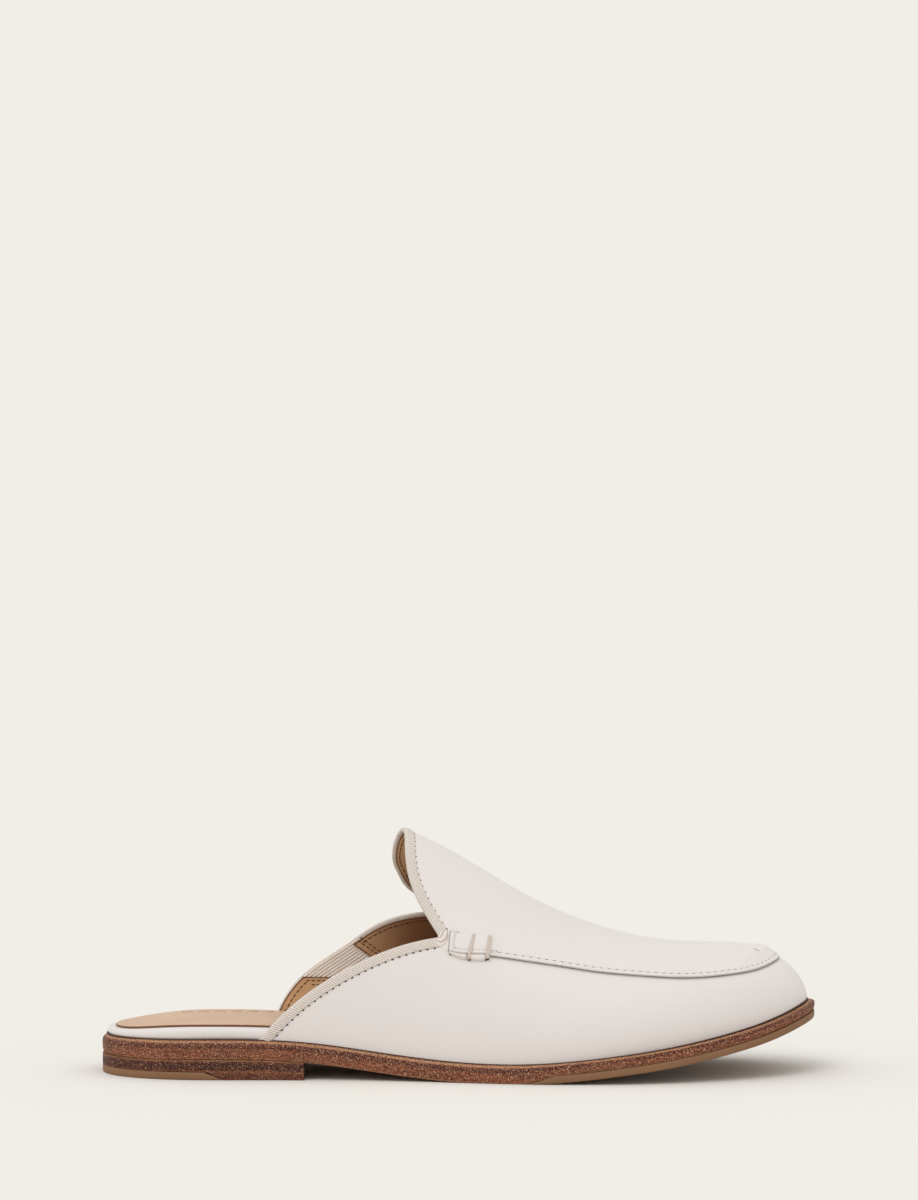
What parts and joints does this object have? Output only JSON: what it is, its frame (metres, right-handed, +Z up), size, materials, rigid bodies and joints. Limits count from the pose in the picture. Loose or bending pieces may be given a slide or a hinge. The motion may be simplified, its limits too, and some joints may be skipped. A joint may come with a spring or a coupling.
{
  "type": "mule shoe",
  "caption": "Backless leather loafer with a round toe, raised apron seam, high tongue, elastic inset in the inner wing, leather sole and a low stacked heel.",
  "frame": {"origin": "on the floor under the middle of the shoe", "axes": "+X to the toe, +Y to the inner (big-toe) side, +Z up; heel and forefoot both stand on z = 0"},
  "size_m": [0.262, 0.0895, 0.0887],
  "materials": {
    "white_leather": "smooth off-white leather with a soft sheen",
    "tan_leather": "matt vegetable-tanned lining leather",
    "sole_leather": "sanded and stained leather edge",
    "rubber": "matt olive-brown rubber",
    "elastic": "ribbed beige elastic",
    "binding": "cream grosgrain tape",
    "thread": "beige waxed thread"
  },
  "bodies": {
    "root": {"outsole": "sole_leather", "forefoot_rubber": "rubber", "heel_block": "sole_leather", "heel_tip": "rubber", "insole": "white_leather", "sock": "tan_leather", "upper": "white_leather", "gore": "elastic", "keeper_outer": "white_leather", "keeper_inner": "white_leather"}
  },
  "joints": []
}
